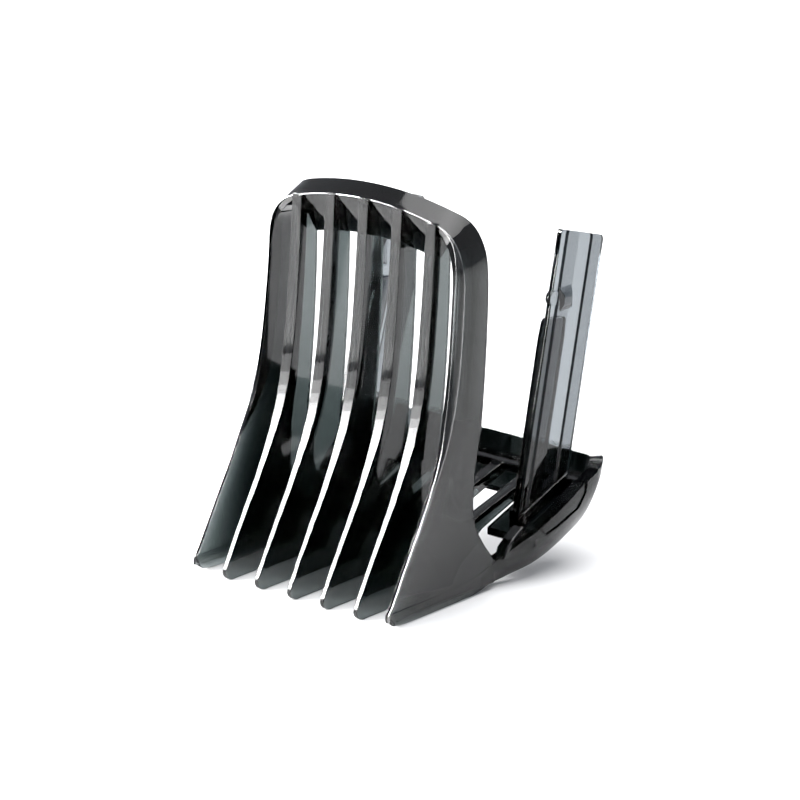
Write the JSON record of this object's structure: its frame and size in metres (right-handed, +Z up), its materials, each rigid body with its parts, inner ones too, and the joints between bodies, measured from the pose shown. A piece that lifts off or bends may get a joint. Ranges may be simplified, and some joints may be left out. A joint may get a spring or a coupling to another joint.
{
  "type": "hair clipper guide comb",
  "caption": "Slide-on guide comb for a hair clipper: curved fins under an arched bar, an open floor behind them and an upright springy guide arm on each side.",
  "frame": {"origin": "bottom centre of the whole comb's box, on the plane the sole stands on", "axes": "+X to the comb's right side, -Y towards the fin tips, +Y towards the rear rim, +Z up along the fins and arms"},
  "size_m": [0.064, 0.0643, 0.0759],
  "materials": {
    "smoke_comb": "glossy smoke-tinted translucent moulding",
    "smoke_arm": "glossy smoke-tinted translucent moulding, thin and so lighter"
  },
  "bodies": {
    "comb": {"arch_bar": "smoke_comb", "rear_rim": "smoke_comb", "cross_bar": "smoke_comb", "fin_2": "smoke_comb", "fin_3": "smoke_comb", "fin_4": "smoke_comb", "fin_5": "smoke_comb", "fin_6": "smoke_comb", "side_wall_right": "smoke_comb", "side_wall_left": "smoke_comb", "side_rail_right": "smoke_comb", "side_rail_left": "smoke_comb", "arm_seat_right": "smoke_comb", "arm_seat_left": "smoke_comb", "arm_stop_right": "smoke_comb", "arm_stop_left": "smoke_comb", "clip_base_right": "smoke_arm", "clip_base_left": "smoke_arm", "clip_tab_right": "smoke_arm", "clip_tab_left": "smoke_arm"},
    "right_arm": {"guide_blade_right": "smoke_arm", "blade_stiffener_right": "smoke_arm", "detent_nub_right": "smoke_arm", "catch_wedge_right": "smoke_arm"},
    "left_arm": {"guide_blade_left": "smoke_arm", "blade_stiffener_left": "smoke_arm", "detent_nub_left": "smoke_arm", "catch_wedge_left": "smoke_arm"}
  },
  "joints": [
    {"name": "right_arm_flex", "type": "hinge", "parent": "comb", "child": "right_arm", "pos_m": [0.0242, 0.00625, 0.0129], "axis": [0, 0.9406, 0.3396], "range_deg": [-3, 4], "stiffness_Nm_per_rad": 0.8},
    {"name": "left_arm_flex", "type": "hinge", "parent": "comb", "child": "left_arm", "pos_m": [-0.0242, 0.00625, 0.0129], "axis": [0, -0.9406, -0.3396], "range_deg": [-3, 4], "stiffness_Nm_per_rad": 0.8}
  ]
}
